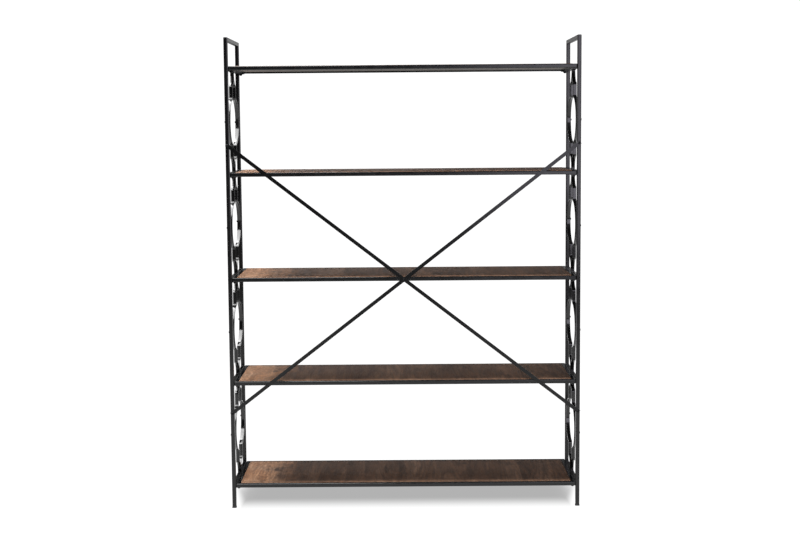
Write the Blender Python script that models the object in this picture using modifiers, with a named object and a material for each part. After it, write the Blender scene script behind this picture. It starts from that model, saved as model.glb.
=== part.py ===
"""Open metal bookcase: two ornamented side frames, five framed wood shelves and an X brace.

World axes: X runs along the shelves, +Z is up, and the braced face looks toward -Y.
The origin is on the floor, under the centre of the bounding box.
"""

import math

import bmesh
import bpy
from mathutils import Matrix, Vector

# Overall size of the tube frame.
WIDTH = 1.22
DEPTH = 0.347
HEIGHT = 1.638

# Square tube and the small clearance left between touching pieces.
TUBE = 0.014
WALL = 0.0012
CORNER_RADIUS = 0.0026
CORNER_STEPS = 3
GAP = 0.0003

# Shelves, counted from the top.
SHELF_NAMES = ("top", "upper", "middle", "lower", "bottom")
ADJUSTABLE_SHELVES = ("upper", "middle", "lower")
TOP_SHELF_Z = 1.540
SHELF_PITCH = 0.3635
SHELF_CLEARANCE = 0.0005
BOARD_THICKNESS = 0.0095
BOARD_PROUD = 0.001
BOARD_GROOVE = 0.001
BOARD_EDGE = 0.0012
LEDGE_WIDTH = 0.008
LEDGE_THICKNESS = 0.0015

# Plates under the shelf corners, and the bolt holes above them.
TAB_LENGTH = 0.024
TAB_REACH = 0.020
TAB_THICKNESS = 0.0025
TAB_SINK = 0.0002
BOLT_HOLE_RADIUS = 0.0028
BOLT_HOLE_DEPTH = 0.0024

# Bent flat bars of the side frames. Offsets are measured from mid depth.
STRIP_WIDTH = 0.013
STRIP_THICKNESS = 0.003
RING_OFFSET = 0.125
BAND_OFFSET = 0.045
WAIST_OFFSET = 0.0017
RING_HALF_HEIGHT = 0.0785
BAND_TOP = 0.128
BEND_RADIUS = 0.008
RING_STEPS = 7
WAIST_STEPS = 5
BEND_STEPS = 2

# X brace on the front posts.
BRACE_WIDTH = 0.0125
BRACE_THICKNESS = 0.003
BRACE_BELOW_SHELF = 0.0085
BRACE_HALF_HEIGHT = 0.466
BRACE_END_MARGIN = 0.0055
BRACE_FLAT_END = 0.06
BRACE_FLAT_CENTRE = 0.03
BRACE_BOW = BRACE_THICKNESS + GAP
BRACE_HOLE_RADIUS = 0.0028
BRACE_DRILL_LENGTH = 0.03

# Round-head bolts at the ends of the brace, and the rivet at its crossing.
BOLT_RADIUS = 0.0025
BOLT_HEAD_RADIUS = 0.0046
BOLT_HEAD_HEIGHT = 0.0026
BOLT_LENGTH = 0.010
ROUND_STEPS = 12
HEAD_STEPS = 3

# Plastic caps under the posts.
CAP_HEIGHT = 0.0045
CAP_LIP = 0.0004
CAP_PLUG_LENGTH = 0.012

# The brace stands out in front and the foot caps behind, so the frame is shifted to keep
# the origin under the middle of the bounding box.
FRONT_PROJECTION = GAP + BRACE_THICKNESS + BRACE_BOW + GAP + BOLT_HEAD_HEIGHT
REAR_PROJECTION = CAP_LIP
MID_DEPTH = (FRONT_PROJECTION - REAR_PROJECTION) / 2
FRONT_FACE = MID_DEPTH - DEPTH / 2
POST_X = (WIDTH - TUBE) / 2
BRACE_BACK = FRONT_FACE - GAP
BRACE_CENTRE_Z = TOP_SHELF_Z - 2 * SHELF_PITCH - BRACE_BELOW_SHELF

# Edges that turn more sharply than this stay sharp when a piece is shaded.
SHARP_ANGLE = math.radians(40.0)
MERGE_DISTANCE = 0.00001

# Name, base colour, roughness and metallic of each material.
MATERIAL_LOOKS = {
    "black_metal": ((0.02, 0.02, 0.022), 0.35, 0.0),
    "walnut_board": ((0.11, 0.065, 0.042), 0.55, 0.0),
    "dark_bolt": ((0.05, 0.05, 0.052), 0.35, 1.0),
    "black_plastic": ((0.015, 0.015, 0.015), 0.6, 0.0),
}


def clear_scene():
    """Remove every object of the start-up scene."""
    for scene_object in list(bpy.data.objects):
        bpy.data.objects.remove(scene_object, do_unlink=True)


def make_material(name):
    """Return the named Principled material."""
    colour, roughness, metallic = MATERIAL_LOOKS[name]
    material = bpy.data.materials.new(name)
    material.use_nodes = True
    shader = material.node_tree.nodes["Principled BSDF"]
    shader.inputs["Base Color"].default_value = (*colour, 1.0)
    shader.inputs["Roughness"].default_value = roughness
    shader.inputs["Metallic"].default_value = metallic
    return material


def add_part(name, mesh, material_name, location):
    """Add one named piece to the bookcase collection."""
    part = bpy.data.objects.new(name, mesh)
    part.location = location
    if not mesh.materials:
        mesh.materials.append(MATERIALS[material_name])
    mesh.shade_smooth()
    mesh.set_sharp_from_angle(angle=SHARP_ANGLE)
    PARTS.objects.link(part)
    return part


def mesh_from_bmesh(name, working):
    """Turn a bmesh into mesh data with outward normals."""
    bmesh.ops.recalc_face_normals(working, faces=working.faces)
    mesh = bpy.data.meshes.new(name)
    working.to_mesh(mesh)
    working.free()
    return mesh


def box_mesh(name, low, high):
    """Return an axis-aligned box between two corners."""
    low = Vector(low)
    high = Vector(high)
    working = bmesh.new()
    bmesh.ops.create_cube(working, size=1.0)
    bmesh.ops.scale(working, vec=high - low, verts=working.verts)
    bmesh.ops.translate(working, vec=(low + high) / 2, verts=working.verts)
    return mesh_from_bmesh(name, working)


def rounded_box_mesh(name, size_x, size_y, size_z):
    """Return a centred box whose edges are rounded like the tube's corners."""
    working = bmesh.new()
    bmesh.ops.create_cube(working, size=1.0)
    bmesh.ops.scale(working, vec=(size_x, size_y, size_z), verts=working.verts)
    bmesh.ops.bevel(working, geom=working.edges, offset=CORNER_RADIUS, segments=CORNER_STEPS,
                    profile=0.5, affect="EDGES")
    return mesh_from_bmesh(name, working)


def extruded_mesh(name, outlines, length):
    """Extrude closed outlines of the XY plane by a length centred on Z = 0.

    A second outline inside the first one becomes a hole.
    """
    curve = bpy.data.curves.new(name, "CURVE")
    curve.dimensions = "2D"
    curve.fill_mode = "BOTH"
    curve.extrude = length / 2
    for outline in outlines:
        spline = curve.splines.new("POLY")
        spline.points.add(len(outline) - 1)
        spline.use_cyclic_u = True
        for point, (x, y) in zip(spline.points, outline):
            point.co = (x, y, 0.0, 1.0)
    holder = bpy.data.objects.new(name, curve)
    mesh = bpy.data.meshes.new_from_object(holder)
    bpy.data.objects.remove(holder)
    working = bmesh.new()
    working.from_mesh(mesh)
    bmesh.ops.remove_doubles(working, verts=working.verts, dist=MERGE_DISTANCE)
    return mesh_from_bmesh(name, working)


def combined_mesh(name, base, operation, others):
    """Apply Boolean operations to a base mesh and return the result."""
    base_object = bpy.data.objects.new(name, base)
    bpy.context.scene.collection.objects.link(base_object)
    helpers = []
    for index, other in enumerate(others):
        helper = bpy.data.objects.new(f"{name}_helper_{index}", other)
        bpy.context.scene.collection.objects.link(helper)
        modifier = base_object.modifiers.new(f"{operation}_{index}", "BOOLEAN")
        modifier.operation = operation
        modifier.solver = "EXACT"
        modifier.object = helper
        helpers.append(helper)
    graph = bpy.context.evaluated_depsgraph_get()
    result = bpy.data.meshes.new_from_object(base_object.evaluated_get(graph))
    result.name = name
    for used in [base_object, *helpers]:
        bpy.data.objects.remove(used)
    return result


def square_outline(side, radius=0.0, steps=0):
    """Return a square outline, with rounded corners if a radius is given."""
    half = side / 2
    if radius == 0.0:
        return [(-half, -half), (half, -half), (half, half), (-half, half)]
    outline = []
    for corner in range(4):
        start = math.pi + corner * math.pi / 2
        middle = start + math.pi / 4
        centre_x = math.copysign(half - radius, math.cos(middle))
        centre_y = math.copysign(half - radius, math.sin(middle))
        for step in range(steps + 1):
            angle = start + step * math.pi / 2 / steps
            outline.append((centre_x + radius * math.cos(angle), centre_y + radius * math.sin(angle)))
    return outline


def rectangle_outline(size_x, size_y):
    """Return a centred rectangle outline."""
    return [(-size_x / 2, -size_y / 2), (size_x / 2, -size_y / 2),
            (size_x / 2, size_y / 2), (-size_x / 2, size_y / 2)]


def tube_mesh(name, length):
    """Return a square tube along Z, open at both ends and centred on the origin."""
    outer = square_outline(TUBE, CORNER_RADIUS, CORNER_STEPS)
    inner = square_outline(TUBE - 2 * WALL)
    return extruded_mesh(name, (outer, inner), length)


def mitre_tube(mesh, start_slope, end_slope):
    """Slant the two ends of a Z tube: each end moves along Z by slope times Y."""
    for vertex in mesh.vertices:
        slope = end_slope if vertex.co.z > 0.0 else start_slope
        vertex.co.z += slope * vertex.co.y


def cylinder_mesh(name, radius, length, matrix):
    """Return a closed cylinder along the local Z of a matrix, centred on it."""
    working = bmesh.new()
    bmesh.ops.create_cone(working, cap_ends=True, segments=ROUND_STEPS, radius1=radius,
                          radius2=radius, depth=length, matrix=matrix)
    return mesh_from_bmesh(name, working)


def revolved_mesh(name, profile):
    """Revolve a profile of (radius, y) pairs around the Y axis."""
    working = bmesh.new()
    verts = [working.verts.new((radius, y, 0.0)) for radius, y in profile]
    edges = [working.edges.new(pair) for pair in zip(verts, verts[1:])]
    bmesh.ops.spin(working, geom=verts + edges, cent=(0.0, 0.0, 0.0), axis=(0.0, 1.0, 0.0),
                   angle=2 * math.pi, steps=ROUND_STEPS)
    bmesh.ops.remove_doubles(working, verts=working.verts, dist=MERGE_DISTANCE)
    return mesh_from_bmesh(name, working)


def strip_outline(path, thickness):
    """Return the outline of a bent bar: its centre line offset to both sides with mitres."""
    normals = []
    for start, end in zip(path, path[1:]):
        along = (Vector(end) - Vector(start)).normalized()
        normals.append(Vector((-along.y, along.x)))
    offsets = []
    for index in range(len(path)):
        before = normals[max(index - 1, 0)]
        after = normals[min(index, len(normals) - 1)]
        mitre = (before + after).normalized()
        offsets.append(mitre * (thickness / 2) / mitre.dot(before))
    left = [Vector(point) + offset for point, offset in zip(path, offsets)]
    right = [Vector(point) - offset for point, offset in zip(path, offsets)]
    return [tuple(point) for point in left + right[::-1]]


def side_name(side):
    """Name the left (-1) or right (+1) side frame."""
    return "left" if side < 0 else "right"


def shelf_top(index):
    """Return the height of the top rim of a shelf, counted from the top."""
    return TOP_SHELF_Z - index * SHELF_PITCH


def post_centre_y(end):
    """Return the Y of the post centres at the front (-1) or rear (+1)."""
    return MID_DEPTH + end * (DEPTH - TUBE) / 2


def brace_bolt_heights():
    """Return the two heights at which the brace is bolted to the posts."""
    return (BRACE_CENTRE_Z - BRACE_HALF_HEIGHT, BRACE_CENTRE_Z + BRACE_HALF_HEIGHT)


def along_y(location):
    """Return a matrix whose local Z axis is the world Y axis at a location."""
    return Matrix.Translation(location) @ Matrix.Rotation(math.pi / 2, 4, "X")


def build_posts():
    """Add the four posts: tubes mitred at the top, the front ones drilled for the brace."""
    bottom = CAP_HEIGHT + GAP
    for end, end_name in ((-1, "front"), (1, "rear")):
        length = HEIGHT - TUBE / 2 - GAP / 2 - bottom
        mesh = tube_mesh(f"{end_name}_post", length)
        mitre_tube(mesh, 0.0, end)
        if end < 0:
            centre_z = bottom + length / 2
            holes = [
                cylinder_mesh("post_hole", BRACE_HOLE_RADIUS, TUBE,
                              along_y((0.0, -TUBE / 2, height - centre_z)))
                for height in brace_bolt_heights()
            ]
            mesh = combined_mesh("front_post", mesh, "DIFFERENCE", holes)
        for side in (-1, 1):
            location = (side * POST_X, post_centre_y(end), bottom + length / 2)
            add_part(f"{side_name(side)}_{end_name}_post", mesh, "black_metal", location)


def build_top_bars():
    """Add the bar that joins the two posts of each side frame at the top."""
    mesh = tube_mesh("top_bar", DEPTH - TUBE - GAP)
    mitre_tube(mesh, 1.0, -1.0)
    mesh.transform(Matrix.Rotation(-math.pi / 2, 4, "X"))
    for side in (-1, 1):
        location = (side * POST_X, MID_DEPTH, HEIGHT - TUBE / 2)
        add_part(f"{side_name(side)}_top_bar", mesh, "black_metal", location)


def cross_rail_mesh(side):
    """Return the rail between two posts at shelf height, with a plate under each shelf corner."""
    length = DEPTH - 2 * TUBE - 2 * GAP
    tube = tube_mesh("cross_rail", length)
    tube.transform(Matrix.Rotation(math.pi / 2, 4, "X"))
    plate_top = TAB_SINK - TUBE / 2
    outer_x = side * (TUBE / 2 - CORNER_RADIUS)
    inner_x = -side * (TUBE / 2 + TAB_REACH)
    plates = []
    for end in (-1, 1):
        y_values = sorted((end * length / 2, end * (length / 2 - TAB_LENGTH)))
        low = (min(outer_x, inner_x), y_values[0], plate_top - TAB_THICKNESS)
        high = (max(outer_x, inner_x), y_values[1], plate_top)
        plates.append(box_mesh("tab", low, high))
    return combined_mesh("cross_rail", tube, "UNION", plates)


def build_cross_rails():
    """Add the five cross rails of each side frame."""
    drop = GAP + TAB_SINK
    for side in (-1, 1):
        mesh = cross_rail_mesh(side)
        for index, shelf_name in enumerate(SHELF_NAMES):
            location = (side * POST_X, MID_DEPTH, shelf_top(index) - drop - TUBE / 2)
            add_part(f"{side_name(side)}_{shelf_name}_cross_rail", mesh, "black_metal", location)


def ellipse_arc(centre, semi_y, semi_z, start_angle, end_angle, steps):
    """Return points of an ellipse from one angle to another."""
    turn = (end_angle - start_angle) / steps
    angles = [start_angle + turn * step for step in range(steps + 1)]
    return [(centre[0] + semi_y * math.cos(angle), centre[1] + semi_z * math.sin(angle))
            for angle in angles]


def ornament_path(half_bay):
    """Return the centre line of one bent bar: half a ring, a flat band above and below, two waists.

    Points are (offset from mid depth, height from the bay's middle). The upper half is drawn
    and then mirrored down.
    """
    quarter = math.pi / 2
    ring_reach = RING_OFFSET - BAND_OFFSET
    waist_reach = BAND_OFFSET - WAIST_OFFSET
    ring = ellipse_arc((BAND_OFFSET, 0.0), ring_reach, RING_HALF_HEIGHT,
                       0.0, math.acos(BEND_RADIUS / ring_reach), RING_STEPS)
    waist = ellipse_arc((BAND_OFFSET, half_bay), waist_reach, half_bay - BAND_TOP,
                        -quarter - math.asin(BEND_RADIUS / waist_reach), -math.pi, WAIST_STEPS)
    shoulder = ellipse_arc((BAND_OFFSET + BEND_RADIUS, ring[-1][1] + BEND_RADIUS),
                           BEND_RADIUS, BEND_RADIUS, -quarter, -math.pi, BEND_STEPS)
    crest = ellipse_arc((BAND_OFFSET - BEND_RADIUS, waist[0][1] - BEND_RADIUS),
                        BEND_RADIUS, BEND_RADIUS, 0.0, quarter, BEND_STEPS)
    upper = ring + shoulder[1:] + crest[:-1] + waist
    lower = [(offset, -height) for offset, height in upper[:0:-1]]
    return lower + upper


def build_ornaments():
    """Add a mirrored pair of bent bars in every bay of both side frames."""
    drop = GAP + TAB_SINK
    half_bay = (SHELF_PITCH - TUBE) / 2 - GAP
    path = ornament_path(half_bay)
    for end, end_name in ((-1, "front"), (1, "rear")):
        placed = [(end * offset, height) for offset, height in path]
        mesh = extruded_mesh(f"{end_name}_ornament", (strip_outline(placed, STRIP_THICKNESS),),
                             STRIP_WIDTH)
        # The outline's X becomes world Y, its Y becomes world Z, and the width runs along X.
        mesh.transform(Matrix(((0, 0, 1, 0), (1, 0, 0, 0), (0, 1, 0, 0), (0, 0, 0, 1))))
        for side in (-1, 1):
            x = side * (WIDTH / 2 - TUBE + STRIP_WIDTH / 2)
            for bay in range(len(SHELF_NAMES) - 1):
                z = shelf_top(bay) - drop - TUBE - (SHELF_PITCH - TUBE) / 2
                name = f"{side_name(side)}_ornament_bay_{bay + 1}_{end_name}"
                add_part(name, mesh, "black_metal", (x, MID_DEPTH, z))


def shelf_frame_mesh():
    """Return a hollow rectangular frame with a ledge inside that carries the board.

    Its height is centred on Z = 0. The cavity opens through the four bolt holes.
    """
    size_x = WIDTH - 2 * TUBE - 2 * SHELF_CLEARANCE
    size_y = DEPTH - 2 * SHELF_CLEARANCE
    half = TUBE / 2
    well_x = size_x / 2 - TUBE
    well_y = size_y / 2 - TUBE
    ledge_top = half + BOARD_PROUD - BOARD_THICKNESS - GAP
    ledge_bottom = ledge_top - LEDGE_THICKNESS
    upper_well = box_mesh("upper_well", (-well_x, -well_y, ledge_top), (well_x, well_y, TUBE))
    lower_well = box_mesh("lower_well", (-well_x, -well_y, -TUBE), (well_x, well_y, ledge_bottom))
    hole_x = well_x - LEDGE_WIDTH
    hole_y = well_y - LEDGE_WIDTH
    through = box_mesh("through", (-hole_x, -hole_y, -TUBE), (hole_x, hole_y, TUBE))
    cavity = extruded_mesh(
        "cavity",
        (rectangle_outline(size_x - 2 * WALL, size_y - 2 * WALL),
         rectangle_outline(2 * (well_x + WALL), 2 * (well_y + WALL))),
        TUBE - 2 * WALL)
    cutters = [upper_well, lower_well, through, cavity]
    bolt_x = size_x / 2 - half
    bolt_y = DEPTH / 2 - TUBE - GAP - TAB_LENGTH / 2
    for x in (-bolt_x, bolt_x):
        for y in (-bolt_y, bolt_y):
            place = Matrix.Translation((x, y, -half))
            cutters.append(cylinder_mesh("bolt_hole", BOLT_HOLE_RADIUS, 2 * BOLT_HOLE_DEPTH, place))
    slab = rounded_box_mesh("slab", size_x, size_y, TUBE)
    return combined_mesh("shelf_frame", slab, "DIFFERENCE", cutters)


def board_mesh():
    """Return the wood board that drops into a shelf frame."""
    size_x = WIDTH - 4 * TUBE - 2 * SHELF_CLEARANCE - 2 * BOARD_GROOVE
    size_y = DEPTH - 2 * TUBE - 2 * SHELF_CLEARANCE - 2 * BOARD_GROOVE
    top = TUBE / 2 + BOARD_PROUD
    return box_mesh("shelf_board", (-size_x / 2, -size_y / 2, top - BOARD_THICKNESS),
                    (size_x / 2, size_y / 2, top))


def build_shelves():
    """Add the five shelf frames and boards. An adjustable shelf hangs on an empty."""
    frame_mesh = shelf_frame_mesh()
    wood_mesh = board_mesh()
    for index, name in enumerate(SHELF_NAMES):
        centre = (0.0, MID_DEPTH, shelf_top(index) - TUBE / 2)
        frame = add_part(f"{name}_shelf_frame", frame_mesh, "black_metal", centre)
        board = add_part(f"{name}_shelf_board", wood_mesh, "walnut_board", centre)
        bevel = board.modifiers.new("edge", "BEVEL")
        bevel.width = BOARD_EDGE
        bevel.segments = 2
        if name in ADJUSTABLE_SHELVES:
            lift = bpy.data.objects.new(f"{name}_shelf_lift", None)
            lift.location = centre
            PARTS.objects.link(lift)
            for piece in (frame, board):
                piece.location = (0.0, 0.0, 0.0)
                piece.parent = lift


def brace_bar_mesh(name, bow):
    """Return a flat bar along X, bowed toward -Y at its centre, with three bolt holes."""
    half_span = math.hypot(POST_X, BRACE_HALF_HEIGHT)
    end = half_span + BRACE_END_MARGIN
    back = -BRACE_THICKNESS / 2
    bends = []
    if bow > 0.0:
        bends = [(-half_span + BRACE_FLAT_END, back), (-BRACE_FLAT_CENTRE, back - bow),
                 (BRACE_FLAT_CENTRE, back - bow), (half_span - BRACE_FLAT_END, back)]
    path = [(-end, back), *bends, (end, back)]
    bar = extruded_mesh(name, (strip_outline(path, BRACE_THICKNESS),), BRACE_WIDTH)
    holes = [
        cylinder_mesh("brace_hole", BRACE_HOLE_RADIUS, BRACE_DRILL_LENGTH, along_y((x, 0.0, 0.0)))
        for x in (-half_span, 0.0, half_span)
    ]
    return combined_mesh(name, bar, "DIFFERENCE", holes)


def build_brace():
    """Add the two crossed bars. The rising one passes in front of the falling one."""
    tilt = math.atan2(BRACE_HALF_HEIGHT, POST_X)
    for name, bow, turn in (("brace_bar_falling", 0.0, tilt), ("brace_bar_rising", BRACE_BOW, -tilt)):
        mesh = brace_bar_mesh(name, bow)
        mesh.transform(Matrix.Rotation(turn, 4, "Y"))
        add_part(name, mesh, "black_metal", (0.0, BRACE_BACK, BRACE_CENTRE_Z))


def head_profile(head_y):
    """Return the domed head of a bolt whose underside is at head_y and which points to -Y."""
    points = [(0.0, head_y - BOLT_HEAD_HEIGHT)]
    for step in range(1, HEAD_STEPS + 1):
        angle = math.pi / 2 * (1 - step / HEAD_STEPS)
        points.append((BOLT_HEAD_RADIUS * math.cos(angle),
                       head_y - BOLT_HEAD_HEIGHT * math.sin(angle)))
    return points


def build_brace_bolts():
    """Add the four end bolts and the rivet at the crossing, which is flush at the back."""
    head_y = -BRACE_THICKNESS - GAP
    end_profile = head_profile(head_y)
    end_profile += [(BOLT_RADIUS, head_y), (BOLT_RADIUS, BOLT_LENGTH), (0.0, BOLT_LENGTH)]
    end_mesh = revolved_mesh("brace_bolt", end_profile)
    low, high = brace_bolt_heights()
    for height, height_name in ((low, "lower"), (high, "upper")):
        for side in (-1, 1):
            name = f"brace_bolt_{height_name}_{side_name(side)}"
            location = (side * POST_X, BRACE_BACK, height)
            add_part(name, end_mesh, "dark_bolt", location)
    centre_head_y = head_y - BRACE_BOW
    centre_profile = head_profile(centre_head_y)
    centre_profile += [(BOLT_RADIUS, centre_head_y), (BOLT_RADIUS, 0.0), (0.0, 0.0)]
    rivet_mesh = revolved_mesh("brace_centre_rivet", centre_profile)
    add_part("brace_centre_rivet", rivet_mesh, "dark_bolt", (0.0, BRACE_BACK, BRACE_CENTRE_Z))


def foot_cap_mesh():
    """Return a square cap with a plug that goes up into the tube."""
    side = TUBE + 2 * CAP_LIP
    plug = TUBE - 2 * WALL - 2 * GAP
    working = bmesh.new()
    bmesh.ops.create_cube(working, size=1.0)
    bmesh.ops.scale(working, vec=(side, side, CAP_HEIGHT), verts=working.verts)
    bmesh.ops.translate(working, vec=(0.0, 0.0, CAP_HEIGHT / 2), verts=working.verts)
    top = max(working.faces, key=lambda face: face.calc_center_median().z)
    bmesh.ops.inset_region(working, faces=[top], thickness=(side - plug) / 2, use_even_offset=True)
    raised = bmesh.ops.extrude_face_region(working, geom=[top])
    raised_verts = [item for item in raised["geom"] if isinstance(item, bmesh.types.BMVert)]
    bmesh.ops.translate(working, vec=(0.0, 0.0, CAP_PLUG_LENGTH), verts=raised_verts)
    bmesh.ops.delete(working, geom=[top], context="FACES_ONLY")
    return mesh_from_bmesh("foot_cap", working)


def build_foot_caps():
    """Add a cap under each post."""
    mesh = foot_cap_mesh()
    for side in (-1, 1):
        for end, end_name in ((-1, "front"), (1, "rear")):
            location = (side * POST_X, post_centre_y(end), 0.0)
            add_part(f"{side_name(side)}_{end_name}_foot_cap", mesh, "black_plastic", location)


clear_scene()
MATERIALS = {name: make_material(name) for name in MATERIAL_LOOKS}
PARTS = bpy.data.collections.new("metal_bookcase")
bpy.context.scene.collection.children.link(PARTS)

build_posts()
build_top_bars()
build_cross_rails()
build_ornaments()
build_shelves()
build_brace()
build_brace_bolts()
build_foot_caps()
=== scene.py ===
"""Looks of the metal bookcase: studio, camera, materials and the fine pieces around the CAD frame.

Units are metres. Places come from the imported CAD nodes, so the pieces follow the frame's sizes.
"""
import math

import bmesh
import bpy
from mathutils import Matrix, Vector


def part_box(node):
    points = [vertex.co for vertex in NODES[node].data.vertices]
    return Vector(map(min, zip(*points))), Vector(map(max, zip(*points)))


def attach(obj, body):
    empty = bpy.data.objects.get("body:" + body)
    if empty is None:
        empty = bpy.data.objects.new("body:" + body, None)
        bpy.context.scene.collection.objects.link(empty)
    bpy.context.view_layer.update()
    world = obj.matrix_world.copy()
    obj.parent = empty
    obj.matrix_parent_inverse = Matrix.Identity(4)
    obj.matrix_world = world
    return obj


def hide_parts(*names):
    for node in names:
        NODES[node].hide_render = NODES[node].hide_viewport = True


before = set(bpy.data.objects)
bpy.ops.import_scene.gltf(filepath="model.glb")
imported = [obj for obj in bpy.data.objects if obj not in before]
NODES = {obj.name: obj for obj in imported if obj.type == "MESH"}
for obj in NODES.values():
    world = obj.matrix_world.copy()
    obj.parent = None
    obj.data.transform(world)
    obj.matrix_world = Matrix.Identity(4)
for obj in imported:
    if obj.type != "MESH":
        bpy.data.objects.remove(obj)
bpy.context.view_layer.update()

SIDES = ((-1, "left"), (1, "right"))
ENDS = ((-1, "front"), (1, "rear"))
SHELF_NAMES = ("top", "upper", "middle", "lower", "bottom")
BAYS = (1, 2, 3, 4)

# Camera: its place, its turns in degrees and its lens in millimetres.
CAMERA_PLACE = (0.005, -5.078, 1.343)
CAMERA_YAW = 0.222
CAMERA_PITCH = -5.762
CAMERA_ROLL = 0.443
CAMERA_LENS = 64.24

# Softboxes: name, place, target, width and height, radiance, kind of surface lit, colour.
WHITE = (1.0, 1.0, 1.0)
SOFTBOXES = (
    ("front_fill", (-0.3, -3.6, 3.0), (0.0, 0.0, 0.8), (3.4, 2.0), 14.0, "matt", WHITE),
    ("rear_fill", (0.3, 4.0, 3.2), (0.0, 0.0, 0.8), (3.0, 2.0), 4.0, "matt", WHITE),
    ("left_ceiling", (-2.1, -0.2, 3.4), (-2.1, -0.2, 0.0), (3.8, 5.0), 9.5, "gloss", WHITE),
    ("right_wall", (2.1, -5.0, 1.6), (2.1, 0.0, 1.6), (3.0, 2.2), 2.2, "gloss",
     (0.98, 0.95, 1.07)),
)

# The studio around the object, as its surfaces see it. The camera sees only white.
SEEN_WHITE = (1.1, 1.1, 1.1)
STUDIO_ABOVE = (0.04, 0.04, 0.042)
# In front of the object, from the left (0) to the right (1).
STUDIO_FRONT = (
    (0.0, (0.16, 0.16, 0.17)), (0.40, (0.02, 0.02, 0.021)), (0.48, (0.05, 0.05, 0.052)),
    (0.58, (0.30, 0.29, 0.33)), (1.0, (0.40, 0.39, 0.44)),
)
# Behind the object: the glow between two heights, and its gain from left to right.
HORIZON_HEIGHTS = (0.02, 0.16)
HORIZON_GLOW = (0.38, 0.07)
HORIZON_PLACES = (0.48, 0.56)
HORIZON_GAIN = (1.0, 1.5)
# Where the front gives way to the back along Y, and both to what is above along Z.
FRONT_TO_BACK = (-0.1, 0.3)
SIDES_TO_ABOVE = (0.4, 0.8)

# Floor: its size, its white, and the light it gives near the object and far from it.
FLOOR_SIZE = 40.0
FLOOR_WHITE = 1.1
FLOOR_LIGHT_NEAR = 0.85
FLOOR_LIGHT_FAR = 0.12
FLOOR_DIMMING = (3.2, 6.0)
# Shade on the floor: it ends where the floor is open, beside the feet and in front of them.
FLOOR_SHADE = 0.445
SHADE_REACH = 0.34
SHADE_OPENNESS = (0.24, 0.96)
SHADE_SIDES = (0.577, 0.622)
SHADE_SLANT = 0.18
SHADE_FRONT = (-0.03, -0.205)
SHADE_FRONT_FADE = 0.9

# Likeness of the rounded and the flat normal, where an edge begins and where it is full.
EDGE_LIKENESS = (0.98, 0.80)

# Paints: the two tones of the mottled coat, the tone of rubbed edges, and the finish.
PAINTS = {
    "frame": {"dark": (0.0016, 0.0015, 0.0016), "light": (0.0032, 0.0031, 0.0033),
              "worn": (0.028, 0.028, 0.029), "roughness": 0.18},
    "shelf": {"dark": (0.0015, 0.0016, 0.0018), "light": (0.0030, 0.0033, 0.0037),
              "worn": (0.030, 0.032, 0.034), "roughness": 0.21, "peel": 0.10},
    "ornament": {"dark": (0.0015, 0.0015, 0.0015), "light": (0.0030, 0.0029, 0.0029),
                 "worn": (0.020, 0.020, 0.020), "roughness": 0.15, "peel": 0.04, "coat": 0.45},
    "brace": {"dark": (0.0016, 0.0016, 0.0017), "light": (0.0032, 0.0032, 0.0034),
              "worn": (0.016, 0.016, 0.017), "roughness": 0.18, "specular": 0.38},
    "weld": {"dark": (0.0032, 0.0032, 0.0032), "light": (0.0070, 0.0070, 0.0072),
             "worn": (0.03, 0.03, 0.03), "roughness": 0.38, "peel": 0.3},
}
# Patterns that all paints share, the radius of a rubbed edge, and the coat's roughness.
PAINT_MOTTLE = {"scale": 28.0, "detail": 5.0, "roughness": 0.6}
PAINT_PEEL = {"scale": 750.0, "detail": 2.0}
PAINT_RUBBING = {"scale": 160.0, "detail": 4.0, "roughness": 0.7}
PAINT_EDGE = 0.0010
PAINT_COAT_ROUGHNESS = 0.05

# Black plastic and black steel: patterns, tones, rubbed edges and their colour.
PLASTIC_GRAIN = {"scale": 1400.0, "detail": 2.0}
PLASTIC_CLOUD = {"scale": 60.0}
PLASTIC_TONES = ((0.3, (0.010, 0.010, 0.011)), (0.7, (0.020, 0.020, 0.021)))
PLASTIC_EDGE = 0.0012
PLASTIC_SCUFF = (0.09, 0.09, 0.09)
STEEL_PATCHES = {"scale": 240.0, "detail": 4.0, "roughness": 0.65}
STEEL_SCRATCHES = {"scale": 1600.0, "detail": 2.0, "stretch": (1.0, 1.0, 0.1)}
STEEL_TONES = ((0.3, (0.006, 0.006, 0.0065)), (0.7, (0.016, 0.016, 0.017)))
STEEL_EDGE = 0.0006
STEEL_WORN = (0.075, 0.075, 0.078)

# Most of a noise's values lie between these two.
NOISE_SPREAD = (0.3, 0.7)

# Wood: planks along the depth, a left end painted tan as a pool of light, and a lighter strip
# behind the front rim.
PLANK_WIDTH = 0.105
PLANK_WANDER = 0.010
PLANK_SHIFT = 3.0
STOREY_HEIGHT = 0.2
# The left end's painted light: full up to the first distance from the left edge, gone by the
# second, with a ragged border.
LIT_END_START = 0.03
LIT_END_WIDTH = 0.195
LIT_END_RAGGED = 0.06
FRONT_STRIP_WIDTH = 0.034
FRONT_STRIP_RAGGED = 0.004
# Nested ovals in the left plank: place, reach along X and Y, lines per reach, and warp.
OVAL_PLACE = 0.075
OVAL_SIZE = (0.033, 0.115)
OVAL_RINGS = 2.6
OVAL_WARP = 0.05
# Reach of the ovals over which they fade, and the share of a turn that a dark line takes.
OVAL_FADE = (1.0, 1.9)
OVAL_LINE = (0.45, 0.95)
# Growth rings over the figure's whole range, and the share of each that its dark line takes.
FIGURE_RINGS = 12.0
FIGURE_LINE = (0.30, 0.95)
# Where the pores' noise turns into open pores, and the noise that bends the planks.
OPEN_PORE = (0.62, 0.72)
WANDER = {"scale": 6.0, "detail": 2.0}
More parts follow.
